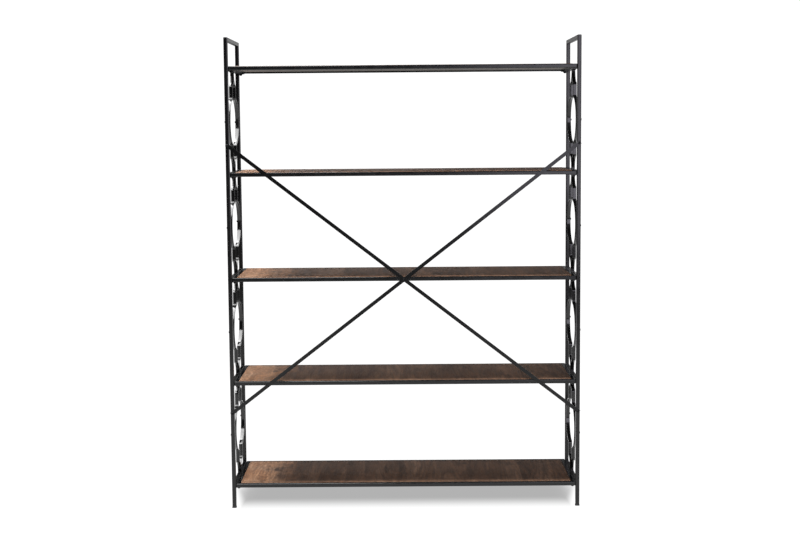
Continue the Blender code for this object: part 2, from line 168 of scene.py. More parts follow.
# Noises that differ from plank to plank, and those that run on across the planks.
PLANK_NOISES = {
    "figure": {"scale": 13.0, "detail": 2.0, "stretch": (1.0, 0.085, 1.0), "distortion": 0.3},
    "pores": {"scale": 900.0, "detail": 2.0, "stretch": (1.0, 0.035, 1.0)},
    "fibres": {"scale": 420.0, "detail": 4.0, "roughness": 0.65, "stretch": (1.0, 0.05, 1.0)},
    "streaks": {"scale": 62.0, "roughness": 0.6, "stretch": (1.0, 0.11, 1.0)},
}
BOARD_NOISES = {
    "blotches": {"scale": 16.0, "detail": 4.0, "roughness": 0.6, "stretch": (1.0, 0.6, 1.0)},
    "mottle": {"scale": 70.0, "detail": 4.0, "roughness": 0.65, "stretch": (1.0, 0.45, 1.0)},
}
# Knots: cells per metre, their squeeze along X, Y and Z, the cell values from no knot to the
# largest, a knot's reach and its border.
KNOT_CELLS = 13.0
KNOT_SQUEEZE = (1.0, 0.55, 0.0)
KNOT_SIZES = (0.45, 1.0)
KNOT_REACH = 0.13
KNOT_BORDER = (-0.03, 0.02)
WOOD_EDGE = 0.0015
# Colours of the wood, from the low to the high end of its figure.
HEARTWOOD = ((0.30, (0.045, 0.0225, 0.0118)), (0.50, (0.060, 0.0315, 0.0178)),
             (0.72, (0.080, 0.045, 0.027)))
# The tan of the left end is painted light, not a colour of the wood.
LIT_END_COLOURS = ((0.30, (0.24, 0.112, 0.052)), (0.50, (0.34, 0.172, 0.088)),
           (0.72, (0.42, 0.235, 0.13)))
FRONT_STRIP = ((0.35, (0.17, 0.088, 0.050)), (0.65, (0.25, 0.14, 0.085)))
FRONT_STRIP_STRENGTH = 0.65
# What lies over the wood: strength and colour.
HEARTWOOD_RING = (0.55, (0.020, 0.0110, 0.0070))
# Grain over the left end's painted light: dark ring lines and nested ovals.
LIT_END_RING = (0.32, (0.15, 0.08, 0.045))
LIT_END_OVAL = (0.45, (0.13, 0.066, 0.036))
KNOT = (0.75, (0.014, 0.008, 0.005))
PORE = (0.55, (0.012, 0.008, 0.006))
WORN_WOOD = (0.4, (0.24, 0.15, 0.10))
# Pale blotches in the left end's painted light, and the underside painted lighter and greyer for
# the floor's light on it: range of the pattern, strength and colour.
PALE_RANGE = (0.46, 0.66)
PALE_STRENGTH = 0.55
PALE = (0.56, 0.34, 0.21)
UNDERSIDE_RANGE = (-0.5, -0.8)
UNDERSIDE_STRENGTH = 0.85
FLOOR_LIT_UNDERSIDE = (0.135, 0.118, 0.100)
# Tones that multiply the colour, from the low to the high end of a pattern.
PLANK_TONES = ((0.0, (0.80, 0.78, 0.78)), (1.0, (1.18, 1.17, 1.15)))
BLOTCH_TONES = ((0.3, (0.80, 0.80, 0.80)), (0.7, (1.2, 1.2, 1.2)))
STREAK_TONES = ((0.32, (0.68, 0.66, 0.64)), (0.68, (1.27, 1.28, 1.29)))
MOTTLE_TONES = ((0.32, (0.80, 0.79, 0.78)), (0.68, (1.18, 1.18, 1.18)))
FIBRE_TONES = ((0.3, (0.78, 0.76, 0.75)), (0.7, (1.18, 1.18, 1.18)))

# Screws and bolts.
ROUND_STEPS = 36
DOME_STEPS = 6
SCREW_HEAD_RADIUS = 0.0042
SCREW_HEAD_HEIGHTS = {"front": 0.0018, "rear": 0.0075}
BOLT_HEAD_RADIUS = 0.0046
BOLT_HEAD_HEIGHT = 0.0026
SHELF_BOLT_RADIUS = 0.0054
SHELF_BOLT_HEIGHT = 0.0050
SOCKET_RADIUS = 0.0022
SOCKET_DEPTH = 0.0016
WASHER_RADIUS = 0.0066
WASHER_THICKNESS = 0.0009
STUD_RADIUS = 0.0022
TUBE_WALL = 0.0012
TAB_HALF_LENGTH = 0.012
TAB_THICKNESS = 0.0025
# Share of the way from a shelf tube's lower face to its middle that a stud goes up.
STUD_REACH = 0.7
# Shares of a head's radius and height: its underside, its straight skirt, its socket's chamfer.
HEAD_UNDERSIDE = 0.97
HEAD_SKIRT = 0.12
HEAD_CHAMFER = 0.06
# Shares of the socket's radius: its lip, its floor and the tip of the drill cone.
SOCKET_LIP = 1.15
SOCKET_FLOOR = 0.97
SOCKET_TIP = 0.35
# Share of the socket's depth that the drill cone reaches.
SOCKET_CONE = 1.15
# Share of a washer's thickness that its rims are softened by.
WASHER_SOFTNESS = 0.3

# Bent flat bars of the side frames, measured from the middle of the depth.
RING_OFFSET = 0.125
BAND_OFFSET = 0.045
WAIST_OFFSET = 0.0017
RING_HALF_HEIGHT = 0.0785
BAND_TOP = 0.128
BEND_RADIUS = 0.008
STRIP_THICKNESS = 0.003
STRIP_EDGE_RADIUS = 0.0005
RING_STEPS = 28
WAIST_STEPS = 18
BEND_STEPS = 7
CORNER_STEPS = 3

# Weld beads: their section, taper at the ends and ripples, and the radius shares of finer ones.
WELD_RADIUS = 0.0016
WELD_SIDES = 10
WELD_TIP = 0.02
WELD_TAPER = 0.35
RIPPLE_LENGTH = 0.0013
RIPPLE_DEPTH = 0.16
RIPPLE_STEPS = 4
LEAST_WELD_STEPS = 6
OUTER_WELD = 0.6
BAR_WELD = 0.7
# Distance of a bead's ends from the tube's edges, and of a bar's bead from the mid depth.
WELD_INSET = 0.002
BAR_PAIR_REACH = 0.0034

# Smooth shading and bevels: angles in degrees, and segments.
SHARP_ANGLE = 38.0
BEVEL_ANGLE = 50.0
BEVEL_SEGMENTS = 3
# Material and bevel width of each kind of CAD node, found by the end of its name.
NODE_LOOKS = (
    ("_post", "frame", 0.0004),
    ("_top_bar", "frame", 0.0004),
    ("_cross_rail", "frame", 0.0004),
    ("_shelf_frame", "shelf", 0.0007),
    ("_shelf_board", "wood", 0.0),
    ("_foot_cap", "plastic", 0.0008),
    ("brace_bar_falling", "brace", 0.0013),
    ("brace_bar_rising", "brace", 0.0013),
)


# ---------------------------------------------------------------- shader helpers

def add_node(tree, kind, inputs=None, **settings):
    """Add a node. An input may be a plain value or another node's output socket."""
    node = tree.nodes.new(kind)
    for key, value in settings.items():
        setattr(node, key, value)
    for key, value in (inputs or {}).items():
        if isinstance(value, bpy.types.NodeSocket):
            tree.links.new(value, node.inputs[key])
        else:
            node.inputs[key].default_value = value
    return node


def new_material(name):
    """Return a new Principled material with its tree and shader."""
    material = bpy.data.materials.new(name)
    material.use_nodes = True
    tree = material.node_tree
    return material, tree, tree.nodes["Principled BSDF"]


def object_place(tree):
    """Return the place on the object."""
    return add_node(tree, "ShaderNodeTexCoord").outputs["Object"]


def split_vector(tree, vector):
    """Return the three parts of a vector."""
    return tuple(add_node(tree, "ShaderNodeSeparateXYZ", {"Vector": vector}).outputs)


def is_camera_ray(tree):
    """Return 1 for what the camera sees directly and 0 for the rest."""
    return add_node(tree, "ShaderNodeLightPath").outputs["Is Camera Ray"]


def maths(tree, operation, first, second=0.0):
    """Return the result of a maths node."""
    return add_node(tree, "ShaderNodeMath", {0: first, 1: second}, operation=operation).outputs[0]


def times(tree, first, second):
    """Return a product."""
    return maths(tree, "MULTIPLY", first, second)


def map_range(tree, value, low, high, new_low=0.0, new_high=1.0, smooth=False):
    """Return a value carried from one range to another, and held at its ends."""
    node = add_node(tree, "ShaderNodeMapRange", {
        "Value": value, "From Min": low, "From Max": high, "To Min": new_low, "To Max": new_high,
    }, interpolation_type="SMOOTHSTEP" if smooth else "LINEAR")
    return node.outputs["Result"]


def ramp(tree, value, stops):
    """Return a colour ramp's output for stops of (position, colour)."""
    node = add_node(tree, "ShaderNodeValToRGB", {"Fac": value})
    elements = node.color_ramp.elements
    for element, (position, colour) in zip((elements[0], elements[1]), (stops[0], stops[-1])):
        element.position = position
        element.color = (*colour, 1.0)
    for position, colour in stops[1:-1]:
        elements.new(position).color = (*colour, 1.0)
    return node.outputs["Color"]


def mix_colour(tree, factor, first, second, blend="MIX"):
    """Return a mix of two colours, which may be tuples or sockets."""
    node = add_node(tree, "ShaderNodeMix", {0: factor}, data_type="RGBA", blend_type=blend)
    # A Mix node keeps its two colours in sockets 6 and 7 and their mix in socket 2.
    for socket, colour in ((node.inputs[6], first), (node.inputs[7], second)):
        if isinstance(colour, tuple):
            socket.default_value = (*colour, 1.0)
        else:
            tree.links.new(colour, socket)
    return node.outputs[2]


def toned(tree, colour, pattern, tones):
    """Return a colour multiplied by the tones that a pattern picks."""
    return mix_colour(tree, 1.0, colour, ramp(tree, pattern, tones), "MULTIPLY")


def covered(tree, colour, mask, strength, cover):
    """Return a colour with another one over it, as far as a mask and a strength say."""
    return mix_colour(tree, times(tree, mask, strength), colour, cover)


def noise(tree, place, scale, detail=3.0, roughness=0.5, stretch=(1.0, 1.0, 1.0), distortion=0.0):
    """Return noise over a place. The scale is in features per metre."""
    scaled = add_node(tree, "ShaderNodeVectorMath", {0: place, 1: stretch}, operation="MULTIPLY")
    node = add_node(tree, "ShaderNodeTexNoise", {
        "Vector": scaled.outputs[0], "Scale": scale, "Detail": detail, "Roughness": roughness,
        "Distortion": distortion,
    })
    return node.outputs[0]


def length_of(tree, vector):
    """Return the length of a vector."""
    node = add_node(tree, "ShaderNodeVectorMath", {0: vector}, operation="LENGTH")
    return node.outputs["Value"]


def edge_mask(tree, radius):
    """Return a value that is 0 on flat faces and rises to 1 at sharp edges.

    It compares the face's own normal with one rounded over a radius.
    """
    rounded = add_node(tree, "ShaderNodeBevel", {"Radius": radius}, samples=4)
    flat = add_node(tree, "ShaderNodeNewGeometry").outputs["True Normal"]
    likeness = add_node(tree, "ShaderNodeVectorMath", {0: rounded.outputs[0], 1: flat},
                        operation="DOT_PRODUCT")
    return map_range(tree, likeness.outputs["Value"], *EDGE_LIKENESS)


def finish_surface(tree, shader, colour, roughness, height, strength, distance):
    """Drive a shader's colour and roughness, and bump its surface with a height."""
    tree.links.new(colour, shader.inputs["Base Color"])
    tree.links.new(roughness, shader.inputs["Roughness"])
    bump = add_node(tree, "ShaderNodeBump",
                    {"Height": height, "Strength": strength, "Distance": distance})
    tree.links.new(bump.outputs["Normal"], shader.inputs["Normal"])


# ---------------------------------------------------------------- camera and studio

def add_camera():
    """Add the camera."""
    data = bpy.data.cameras.new("camera")
    data.lens = CAMERA_LENS
    camera = bpy.data.objects.new("camera", data)
    turn = Matrix.Rotation(math.radians(CAMERA_YAW), 4, "Z")
    turn @= Matrix.Rotation(math.radians(CAMERA_PITCH), 4, "X")
    turn @= Matrix.Rotation(math.radians(CAMERA_ROLL), 4, "Y")
    turn @= Matrix.Rotation(math.radians(90.0), 4, "X")
    camera.matrix_world = Matrix.Translation(CAMERA_PLACE) @ turn
    bpy.context.scene.collection.objects.link(camera)
    bpy.context.scene.camera = camera


def add_softbox(name, place, target, size, radiance, lights, colour):
    """Add a rectangular soft light that looks at a target.

    It lights matt surfaces only ("matt"), or shows in glossy ones only ("gloss").
    """
    data = bpy.data.lights.new(name, "AREA")
    data.shape = "RECTANGLE"
    data.size, data.size_y = size
    data.energy = radiance * math.pi * size[0] * size[1]
    data.color = colour
    light = bpy.data.objects.new(name, data)
    light.location = place
    direction = Vector(target) - Vector(place)
    light.rotation_euler = direction.to_track_quat("-Z", "Y").to_euler()
    light.visible_camera = False
    light.visible_diffuse = lights == "matt"
    light.visible_glossy = lights == "gloss"
    bpy.context.scene.collection.objects.link(light)


def add_world():
    """Surround the scene with a dim studio that the camera itself sees as white."""
    world = bpy.data.worlds.new("studio")
    bpy.context.scene.world = world
    world.use_nodes = True
    tree = world.node_tree
    tree.nodes.clear()
    direction = add_node(tree, "ShaderNodeTexCoord").outputs["Generated"]
    x, y, z = split_vector(tree, direction)
    across = map_range(tree, x, -1.0, 1.0)
    front = ramp(tree, across, STUDIO_FRONT)
    horizon = map_range(tree, z, *HORIZON_HEIGHTS, *HORIZON_GLOW)
    horizon = times(tree, horizon, map_range(tree, across, *HORIZON_PLACES, *HORIZON_GAIN))
    back = add_node(tree, "ShaderNodeCombineColor",
                    {"Red": horizon, "Green": horizon, "Blue": horizon}).outputs[0]
    around = mix_colour(tree, map_range(tree, y, *FRONT_TO_BACK), front, back)
    studio = mix_colour(tree, map_range(tree, z, *SIDES_TO_ABOVE), around, STUDIO_ABOVE)
    colour = mix_colour(tree, is_camera_ray(tree), studio, SEEN_WHITE)
    background = add_node(tree, "ShaderNodeBackground", {"Color": colour})
    output = add_node(tree, "ShaderNodeOutputWorld")
    tree.links.new(background.outputs[0], output.inputs["Surface"])


def floor_material():
    """Return a matt white with a soft grey shade where the object stands close above it."""
    material, tree, shader = new_material("studio_floor")
    openness = add_node(tree, "ShaderNodeAmbientOcclusion", {"Distance": SHADE_REACH}, samples=16)
    place = object_place(tree)
    x, y, _ = split_vector(tree, place)
    slanted = maths(tree, "SUBTRACT", maths(tree, "ABSOLUTE", x), times(tree, y, SHADE_SLANT))
    beside = map_range(tree, slanted, *SHADE_SIDES, smooth=True)
    in_front = map_range(tree, y, *SHADE_FRONT, 0.0, SHADE_FRONT_FADE, smooth=True)
    cleared = map_range(tree, openness.outputs["AO"], *SHADE_OPENNESS, smooth=True)
    unshaded = maths(tree, "MAXIMUM", maths(tree, "MAXIMUM", cleared, beside), in_front)
    white = map_range(tree, unshaded, 0.0, 1.0, FLOOR_SHADE, FLOOR_WHITE)
    dimming = map_range(tree, length_of(tree, place), *FLOOR_DIMMING,
                        FLOOR_LIGHT_NEAR, FLOOR_LIGHT_FAR)
    glow = map_range(tree, is_camera_ray(tree), 0.0, 1.0, times(tree, white, dimming), white)
    tree.links.new(glow, shader.inputs["Emission Strength"])
    shader.inputs["Emission Color"].default_value = (1.0, 1.0, 1.0, 1.0)
    shader.inputs["Base Color"].default_value = (0.0, 0.0, 0.0, 1.0)
    shader.inputs["Specular IOR Level"].default_value = 0.0
    return material


def add_floor():
    """Add a plain pale floor."""
    working = bmesh.new()
    bmesh.ops.create_grid(working, x_segments=2, y_segments=2, size=FLOOR_SIZE / 2)
    mesh = bpy.data.meshes.new("floor")
    working.to_mesh(mesh)
    working.free()
    floor = bpy.data.objects.new("floor", mesh)
    bpy.context.scene.collection.objects.link(floor)
    mesh.materials.append(floor_material())


# ---------------------------------------------------------------- metal and plastic

def painted_metal(name, dark, light, worn, roughness, peel=0.12, specular=0.5, coat=0.0):
    """Return sprayed black paint: fine orange peel, faint mottling, rubbed edges."""
    material, tree, shader = new_material(name)
    place = object_place(tree)
    mottle = noise(tree, place, **PAINT_MOTTLE)
    fine = noise(tree, place, **PAINT_PEEL)
    rubbed = noise(tree, place, **PAINT_RUBBING)
    wear = times(tree, edge_mask(tree, PAINT_EDGE), map_range(tree, rubbed, 0.42, 0.66, 0.15))
    tones = tuple(zip(NOISE_SPREAD, (dark, light)))
    colour = mix_colour(tree, wear, ramp(tree, mottle, tones), worn)
    uneven = map_range(tree, mottle, *NOISE_SPREAD, roughness - 0.04, roughness + 0.05)
    rough = maths(tree, "ADD", uneven, times(tree, wear, 0.12))
    height = maths(tree, "ADD", fine, times(tree, mottle, 0.6))
    finish_surface(tree, shader, colour, rough, height, strength=peel, distance=0.0002)
    shader.inputs["Specular IOR Level"].default_value = specular
    shader.inputs["Coat Weight"].default_value = coat
    shader.inputs["Coat Roughness"].default_value = PAINT_COAT_ROUGHNESS
    return material


def moulded_plastic(name):
    """Return black moulded plastic with a fine spark-eroded grain and scuffed edges."""
    material, tree, shader = new_material(name)
    place = object_place(tree)
    grain = noise(tree, place, **PLASTIC_GRAIN)
    cloud = noise(tree, place, **PLASTIC_CLOUD)
    scuff = times(tree, edge_mask(tree, PLASTIC_EDGE), cloud)
    colour = mix_colour(tree, scuff, ramp(tree, cloud, PLASTIC_TONES), PLASTIC_SCUFF)
    rough = map_range(tree, grain, *NOISE_SPREAD, 0.5, 0.68)
    finish_surface(tree, shader, colour, rough, grain, strength=0.25, distance=0.0002)
    return material


def blackened_steel(name):
    """Return oiled black steel with fine scratches, brighter where its edges are rubbed."""
    material, tree, shader = new_material(name)
    place = object_place(tree)
    patches = noise(tree, place, **STEEL_PATCHES)
    scratches = noise(tree, place, **STEEL_SCRATCHES)
    wear = times(tree, edge_mask(tree, STEEL_EDGE), map_range(tree, patches, 0.4, 0.6, 0.3))
    colour = mix_colour(tree, wear, ramp(tree, patches, STEEL_TONES), STEEL_WORN)
    rough = map_range(tree, scratches, *NOISE_SPREAD, 0.26, 0.46)
    finish_surface(tree, shader, colour, rough, scratches, strength=0.15, distance=0.0001)
    shader.inputs["Metallic"].default_value = 0.85
    return material


# ---------------------------------------------------------------- wood

def wood_patterns(tree):
    """Return the places and patterns that the wood is made of, by name.

    Planks run along the depth. Each one has its own tone and its own figure on each shelf.
    """
    place = object_place(tree)
    across, depth, height = split_vector(tree, place)
    wander = noise(tree, place, **WANDER)
    shifted = maths(tree, "ADD", across, times(tree, wander, PLANK_WANDER))
    plank = maths(tree, "FLOOR", maths(tree, "DIVIDE", shifted, PLANK_WIDTH))
    storey = maths(tree, "FLOOR", maths(tree, "DIVIDE", height, STOREY_HEIGHT))
    seed = add_node(tree, "ShaderNodeCombineXYZ", {"X": plank, "Y": storey})
    tone = add_node(tree, "ShaderNodeTexWhiteNoise", {"Vector": seed.outputs[0]}).outputs["Value"]
    in_plank = add_node(tree, "ShaderNodeCombineXYZ", {
        "X": shifted, "Y": depth, "Z": maths(tree, "ADD", height, times(tree, tone, PLANK_SHIFT)),
    }).outputs[0]
    wood = {"across": across, "depth": depth, "wander": wander, "tone": tone,
            "in_plank": in_plank}
    for where, noises in ((in_plank, PLANK_NOISES), (place, BOARD_NOISES)):
        for pattern, settings in noises.items():
            wood[pattern] = noise(tree, where, **settings)
    turns = maths(tree, "FRACT", times(tree, wood["figure"], FIGURE_RINGS))
    wood["ring_lines"] = map_range(tree, turns, *FIGURE_LINE, smooth=True)
    wood["open_pores"] = map_range(tree, wood["pores"], *OPEN_PORE)
    return wood


def heartwood(tree, wood):
    """Return the dark wood, with its growth rings, planks and blotches."""
    colour = ramp(tree, wood["figure"], HEARTWOOD)
    colour = covered(tree, colour, wood["ring_lines"], *HEARTWOOD_RING)
    colour = toned(tree, colour, wood["tone"], PLANK_TONES)
    return toned(tree, colour, wood["blotches"], BLOTCH_TONES)


def painted_lit_end(tree, wood, from_left):
    """Return the painted light of the left end: tan wood with pale blotches and an oval figure."""
    colour = ramp(tree, wood["figure"], LIT_END_COLOURS)
    colour = covered(tree, colour, wood["ring_lines"], *LIT_END_RING)
    pale = map_range(tree, wood["blotches"], *PALE_RANGE, 0.0, PALE_STRENGTH, smooth=True)
    colour = mix_colour(tree, pale, colour, PALE)
    return covered(tree, colour, oval_figure(tree, wood, from_left), *LIT_END_OVAL)


def oval_figure(tree, wood, from_left):
    """Return dark lines that run as nested ovals along the middle of the left plank."""
    warp = times(tree, maths(tree, "SUBTRACT", wood["wander"], 0.5), OVAL_WARP)
    from_middle = maths(tree, "ADD", maths(tree, "SUBTRACT", from_left, OVAL_PLACE), warp)
    distance = length_of(tree, add_node(tree, "ShaderNodeCombineXYZ", {
        "X": maths(tree, "DIVIDE", from_middle, OVAL_SIZE[0]),
        "Y": maths(tree, "DIVIDE", maths(tree, "ADD", wood["depth"], warp), OVAL_SIZE[1]),
    }).outputs[0])
    turns = maths(tree, "FRACT", times(tree, distance, OVAL_RINGS))
    line = map_range(tree, turns, *OVAL_LINE, smooth=True)
    return times(tree, line, map_range(tree, distance, *OVAL_FADE, 1.0, 0.0))


def painted_lit_end_mask(tree, wood, from_left):
    """Return 1 where the left end is painted tan as lit and 0 in the dark wood, with a ragged
    border between them.
    """
    ragged = map_range(tree, wood["blotches"], *NOISE_SPREAD, -LIT_END_RAGGED, LIT_END_RAGGED)
    reach = maths(tree, "ADD", from_left, ragged)
    return map_range(tree, reach, LIT_END_START, LIT_END_WIDTH, 1.0, 0.0, smooth=True)


def front_strip_mask(tree, wood, from_front):
    """Return 1 at the front rim, falling to 0 behind the lighter strip."""
    frayed = map_range(tree, wood["fibres"], *NOISE_SPREAD,
                       -FRONT_STRIP_RAGGED, FRONT_STRIP_RAGGED)
    reach = maths(tree, "ADD", from_front, frayed)
    return map_range(tree, reach, 0.0, FRONT_STRIP_WIDTH, 1.0, 0.0, smooth=True)


def knot_mask(tree, place):
    """Return small scattered knots, longer along the grain."""
    squeezed = add_node(tree, "ShaderNodeVectorMath", {0: place, 1: KNOT_SQUEEZE},
                        operation="MULTIPLY")
    cells = add_node(tree, "ShaderNodeTexVoronoi",
                     {"Vector": squeezed.outputs[0], "Scale": KNOT_CELLS})
    size = split_vector(tree, cells.outputs["Color"])[0]
    reach = map_range(tree, size, *KNOT_SIZES, 0.0, KNOT_REACH)
    inside = maths(tree, "SUBTRACT", reach, cells.outputs["Distance"])
    return map_range(tree, inside, *KNOT_BORDER, smooth=True)


def floor_lit_underside_mask(tree):
    """Return a value that is 0 on top and at the sides, and high underneath, where the wood is
    painted lighter and greyer as if lit by the floor.
    """
    normal = add_node(tree, "ShaderNodeTexCoord").outputs["Normal"]
    upward = split_vector(tree, normal)[2]
    return map_range(tree, upward, *UNDERSIDE_RANGE, 0.0, UNDERSIDE_STRENGTH)


def walnut(name, front_edge, left_edge):
    """Return dark stained wood whose grain runs across the shelf, from front to rear.

    Planks differ a little in tone, a strip behind the front rim is lighter, the left end is
    painted tan as a pool of light, and the underside is painted lighter and greyer as if lit by
    the floor.
    """
    material, tree, shader = new_material(name)
    wood = wood_patterns(tree)
    from_left = maths(tree, "SUBTRACT", wood["across"], left_edge)
    from_front = maths(tree, "SUBTRACT", wood["depth"], front_edge)
    # Painted light: a tan pool of light over the dark wood at the left end.
    colour = mix_colour(tree, painted_lit_end_mask(tree, wood, from_left),
                        heartwood(tree, wood), painted_lit_end(tree, wood, from_left))
    colour = covered(tree, colour, front_strip_mask(tree, wood, from_front),
                     FRONT_STRIP_STRENGTH, ramp(tree, wood["blotches"], FRONT_STRIP))
    colour = toned(tree, colour, wood["streaks"], STREAK_TONES)
    colour = toned(tree, colour, wood["mottle"], MOTTLE_TONES)
    colour = covered(tree, colour, knot_mask(tree, wood["in_plank"]), *KNOT)
    # Painted light: the underside is lighter and greyer, as if lit by the floor below.
    colour = mix_colour(tree, floor_lit_underside_mask(tree), colour, FLOOR_LIT_UNDERSIDE)
    colour = toned(tree, colour, wood["fibres"], FIBRE_TONES)
    colour = covered(tree, colour, wood["open_pores"], *PORE)
    colour = covered(tree, colour, edge_mask(tree, WOOD_EDGE), *WORN_WOOD)
    rough = maths(tree, "ADD", map_range(tree, wood["fibres"], *NOISE_SPREAD, 0.42, 0.60),
                  times(tree, wood["open_pores"], 0.2))
    height = maths(tree, "SUBTRACT", wood["fibres"], times(tree, wood["open_pores"], 0.6))
    height = maths(tree, "ADD", height, times(tree, wood["ring_lines"], 0.25))
    finish_surface(tree, shader, colour, rough, height, strength=0.35, distance=0.0004)
    shader.inputs["Specular IOR Level"].default_value = 0.32
    return material


def make_materials():
    """Return the materials by name."""
    looks = {name: painted_metal(f"{name}_paint", **paint) for name, paint in PAINTS.items()}
    looks["bolt"] = blackened_steel("blackened_steel")
    looks["plastic"] = moulded_plastic("foot_plastic")
    board_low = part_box("middle_shelf_board")[0]
    looks["wood"] = walnut("walnut", board_low.y, board_low.x)
    return looks


# ---------------------------------------------------------------- mesh helpers

def new_piece(name, working, material, body):
    """Add a finished bmesh as a named piece that rides on a body."""
    bmesh.ops.recalc_face_normals(working, faces=working.faces)
    mesh = bpy.data.meshes.new(name)
    working.to_mesh(mesh)
    working.free()
    mesh.shade_smooth()
    mesh.set_sharp_from_angle(angle=math.radians(SHARP_ANGLE))
    mesh.materials.append(material)
    piece = bpy.data.objects.new(name, mesh)
    bpy.context.scene.collection.objects.link(piece)
    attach(piece, body)
    return piece


def even_normals(piece):
    """Keep a piece's broad faces evenly shaded beside its small rounded edges."""
    piece.modifiers.new("flat_faces", "WEIGHTED_NORMAL").keep_sharp = True


def join_rows(working, low, high):
    """Join two closed rows of vertices with a band of faces."""
    for index in range(len(low)):
        after = (index + 1) % len(low)
        working.faces.new((low[index], low[after], high[after], high[index]))


def loft(working, rings, matrix=Matrix.Identity(4)):
    """Join closed rings of points one after another and cap the first and the last."""
    rows = [[working.verts.new(matrix @ Vector(point)) for point in ring] for ring in rings]
    for low, high in zip(rows, rows[1:]):
        join_rows(working, low, high)
    working.faces.new(rows[0][::-1])
    working.faces.new(rows[-1])


def circle(radius, height, steps=ROUND_STEPS):
    """Return a ring of points around Z."""
    step = 2 * math.pi / steps
    return [(radius * math.cos(step * i), radius * math.sin(step * i), height)
            for i in range(steps)]


def hexagon(radius, height):
    """Return as many points as a circle has, laid on a hexagon of a corner radius."""
    points = []
    for i in range(ROUND_STEPS):
        angle = 2 * math.pi * i / ROUND_STEPS
        within = angle % (math.pi / 3) - math.pi / 6
        reach = radius * math.cos(math.pi / 6) / math.cos(within)
        points.append((reach * math.cos(angle), reach * math.sin(angle), height))
    return points


def pointing(place, direction):
    """Return a matrix at a place whose Z axis points along a direction."""
    turn = Vector(direction).to_track_quat("Z", "Y").to_matrix().to_4x4()
    return Matrix.Translation(place) @ turn


def socket_head(working, matrix, radius, height, shank_length):
    """Add a screw: a domed head with a hexagon socket on Z = 0, and a shank below it."""
    rings = [circle(STUD_RADIUS, -shank_length), circle(STUD_RADIUS, 0.0),
             circle(radius * HEAD_UNDERSIDE, 0.0), circle(radius, height * HEAD_SKIRT)]
    top_angle = math.acos(SOCKET_RADIUS * SOCKET_LIP / radius)
    for step in range(1, DOME_STEPS + 1):
        angle = top_angle * step / DOME_STEPS
        rise = HEAD_SKIRT + (1.0 - HEAD_SKIRT) * math.sin(angle)
        rings.append(circle(radius * math.cos(angle), height * rise))
    lip_height = rings[-1][0][2]
    rings.append(hexagon(SOCKET_RADIUS, lip_height - height * HEAD_CHAMFER))
    rings.append(hexagon(SOCKET_RADIUS * SOCKET_FLOOR, height - SOCKET_DEPTH))
    rings.append(circle(SOCKET_RADIUS * SOCKET_TIP, height - SOCKET_DEPTH * SOCKET_CONE))
    loft(working, rings, matrix)


def add_washer(working, matrix, inner, outer, thickness):
    """Add a flat washer with softened rims. It lies on Z = 0."""
    soft = thickness * WASHER_SOFTNESS
    profile = [(inner, 0.0), (outer - soft, 0.0), (outer, soft), (outer, thickness - soft),
               (outer - soft, thickness), (inner, thickness)]
    rows = [[working.verts.new(matrix @ Vector(point)) for point in circle(r, z)]
            for r, z in profile]
    for low, high in zip(rows, rows[1:] + rows[:1]):
        join_rows(working, low, high)


def weld_bead(working, start, end, radius):
    """Add a rippled weld bead between two points."""
    run = Vector(end) - Vector(start)
    count = max(LEAST_WELD_STEPS, int(run.length / RIPPLE_LENGTH * RIPPLE_STEPS))
    rings = []
    for step in range(count + 1):
        along = run.length * step / count
        share = min(max(step / count, WELD_TIP), 1.0 - WELD_TIP)
        taper = math.sin(math.pi * share) ** WELD_TAPER
        ripple = 1.0 + RIPPLE_DEPTH * math.sin(2 * math.pi * along / RIPPLE_LENGTH)
        rings.append(circle(radius * taper * ripple, along, WELD_SIDES))
    loft(working, rings, pointing(Vector(start), run))


# ---------------------------------------------------------------- bent bars

def centre(node):
    """Return the middle of a CAD node's box."""
    low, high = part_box(node)
    return (low + high) / 2


def ellipse_arc(middle, semi_y, semi_z, start, finish, steps):
    """Return points of an ellipse in the plane of a side frame, from one angle to another."""
    angles = [start + (finish - start) * step / steps for step in range(steps + 1)]
    return [Vector((middle[0] + semi_y * math.cos(a), middle[1] + semi_z * math.sin(a)))
            for a in angles]


def ornament_path(half_bay):
    """Return one bent bar's centre line as (offset from mid depth, height from mid bay).

    Half a ring, a shoulder, a flat band, a crest and a waist, and the same mirrored below.
    """
    quarter = math.pi / 2
    ring_reach = RING_OFFSET - BAND_OFFSET
    waist_reach = BAND_OFFSET - WAIST_OFFSET
    ring = ellipse_arc((BAND_OFFSET, 0.0), ring_reach, RING_HALF_HEIGHT,
                       0.0, math.acos(BEND_RADIUS / ring_reach), RING_STEPS)
    waist = ellipse_arc((BAND_OFFSET, half_bay), waist_reach, half_bay - BAND_TOP,
                        -quarter - math.asin(BEND_RADIUS / waist_reach), -math.pi, WAIST_STEPS)
    shoulder = ellipse_arc((BAND_OFFSET + BEND_RADIUS, ring[-1].y + BEND_RADIUS),
                           BEND_RADIUS, BEND_RADIUS, -quarter, -math.pi, BEND_STEPS)
    crest = ellipse_arc((BAND_OFFSET - BEND_RADIUS, waist[0].y - BEND_RADIUS),
                        BEND_RADIUS, BEND_RADIUS, 0.0, quarter, BEND_STEPS)
    upper = ring + shoulder[1:] + crest[:-1] + waist
    lower = [Vector((p.x, -p.y)) for p in upper[:0:-1]]
    return lower + upper


def strip_section(width, thickness):
    """Return a flat bar's cross-section with rounded corners, as (across the bend, along X)."""
    half_u = thickness / 2 - STRIP_EDGE_RADIUS
    half_v = width / 2 - STRIP_EDGE_RADIUS
    points = []
    for quarter, (u, v) in enumerate(((half_u, half_v), (-half_u, half_v),
                                      (-half_u, -half_v), (half_u, -half_v))):
        for step in range(CORNER_STEPS + 1):
            turn = math.pi / 2 * (quarter + step / CORNER_STEPS)
            points.append((u + STRIP_EDGE_RADIUS * math.cos(turn),
                           v + STRIP_EDGE_RADIUS * math.sin(turn)))
    return points


